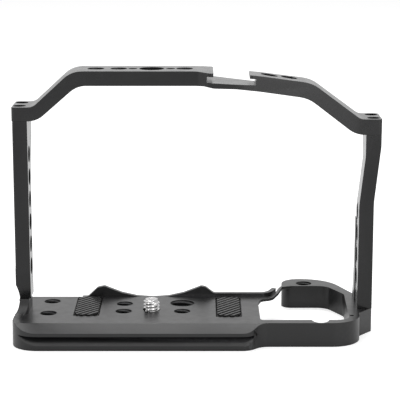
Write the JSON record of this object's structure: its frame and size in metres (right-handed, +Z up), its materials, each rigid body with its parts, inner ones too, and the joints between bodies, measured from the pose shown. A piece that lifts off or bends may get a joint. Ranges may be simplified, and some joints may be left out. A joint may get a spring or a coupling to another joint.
{
  "type": "camera cage",
  "caption": "Machined frame that bolts around a mirrorless camera, with a captive camera screw, a cold shoe, a battery window and threaded accessory holes.",
  "frame": {"origin": "on the camera screw's axis, at the seat face of the base plate", "axes": "+X along the camera towards its grip side, +Y towards the lens, +Z up along the camera screw"},
  "size_m": [0.1423, 0.072, 0.1039],
  "materials": {
    "base_anodised": "black anodised, bead blasted, satin",
    "side_anodised": "black anodised, bead blasted, satin",
    "beam_anodised": "black anodised, bead blasted, satin",
    "screw_steel": "bright turned stainless steel",
    "washer_steel": "plain stainless steel",
    "circlip_steel": "phosphated spring steel",
    "black_oxide": "black oxide",
    "dowel_steel": "ground steel",
    "pad_rubber": "moulded rubber with a fine zigzag rib"
  },
  "bodies": {
    "cage": {"base_plate": "base_anodised", "left_side_plate": "side_anodised", "right_side_plate": "side_anodised", "top_beam": "beam_anodised", "screw_circlip": "circlip_steel", "left_grip_pad": "pad_rubber", "right_grip_pad": "pad_rubber", "top_left_screw_near": "black_oxide", "top_left_screw_far": "black_oxide", "top_right_screw_near": "black_oxide", "top_right_screw_far": "black_oxide", "base_left_screw_near": "black_oxide", "base_left_screw_far": "black_oxide", "base_right_screw_near": "black_oxide", "base_right_screw_far": "black_oxide", "top_left_dowel": "dowel_steel", "top_right_dowel": "dowel_steel", "base_left_dowel": "dowel_steel", "base_right_dowel": "dowel_steel"},
    "thrust_washer": {"screw_washer": "washer_steel"},
    "captive_screw": {"camera_screw": "screw_steel"}
  },
  "joints": [
    {"name": "screw_travel", "type": "slide", "parent": "cage", "child": "thrust_washer", "axis": [0, 0, 1], "range_m": [-0.0036, 0]},
    {"name": "screw_turn", "type": "hinge", "parent": "thrust_washer", "child": "captive_screw", "pos_m": [0, 0, -0.003], "axis": [0, 0, 1], "continuous": true}
  ]
}
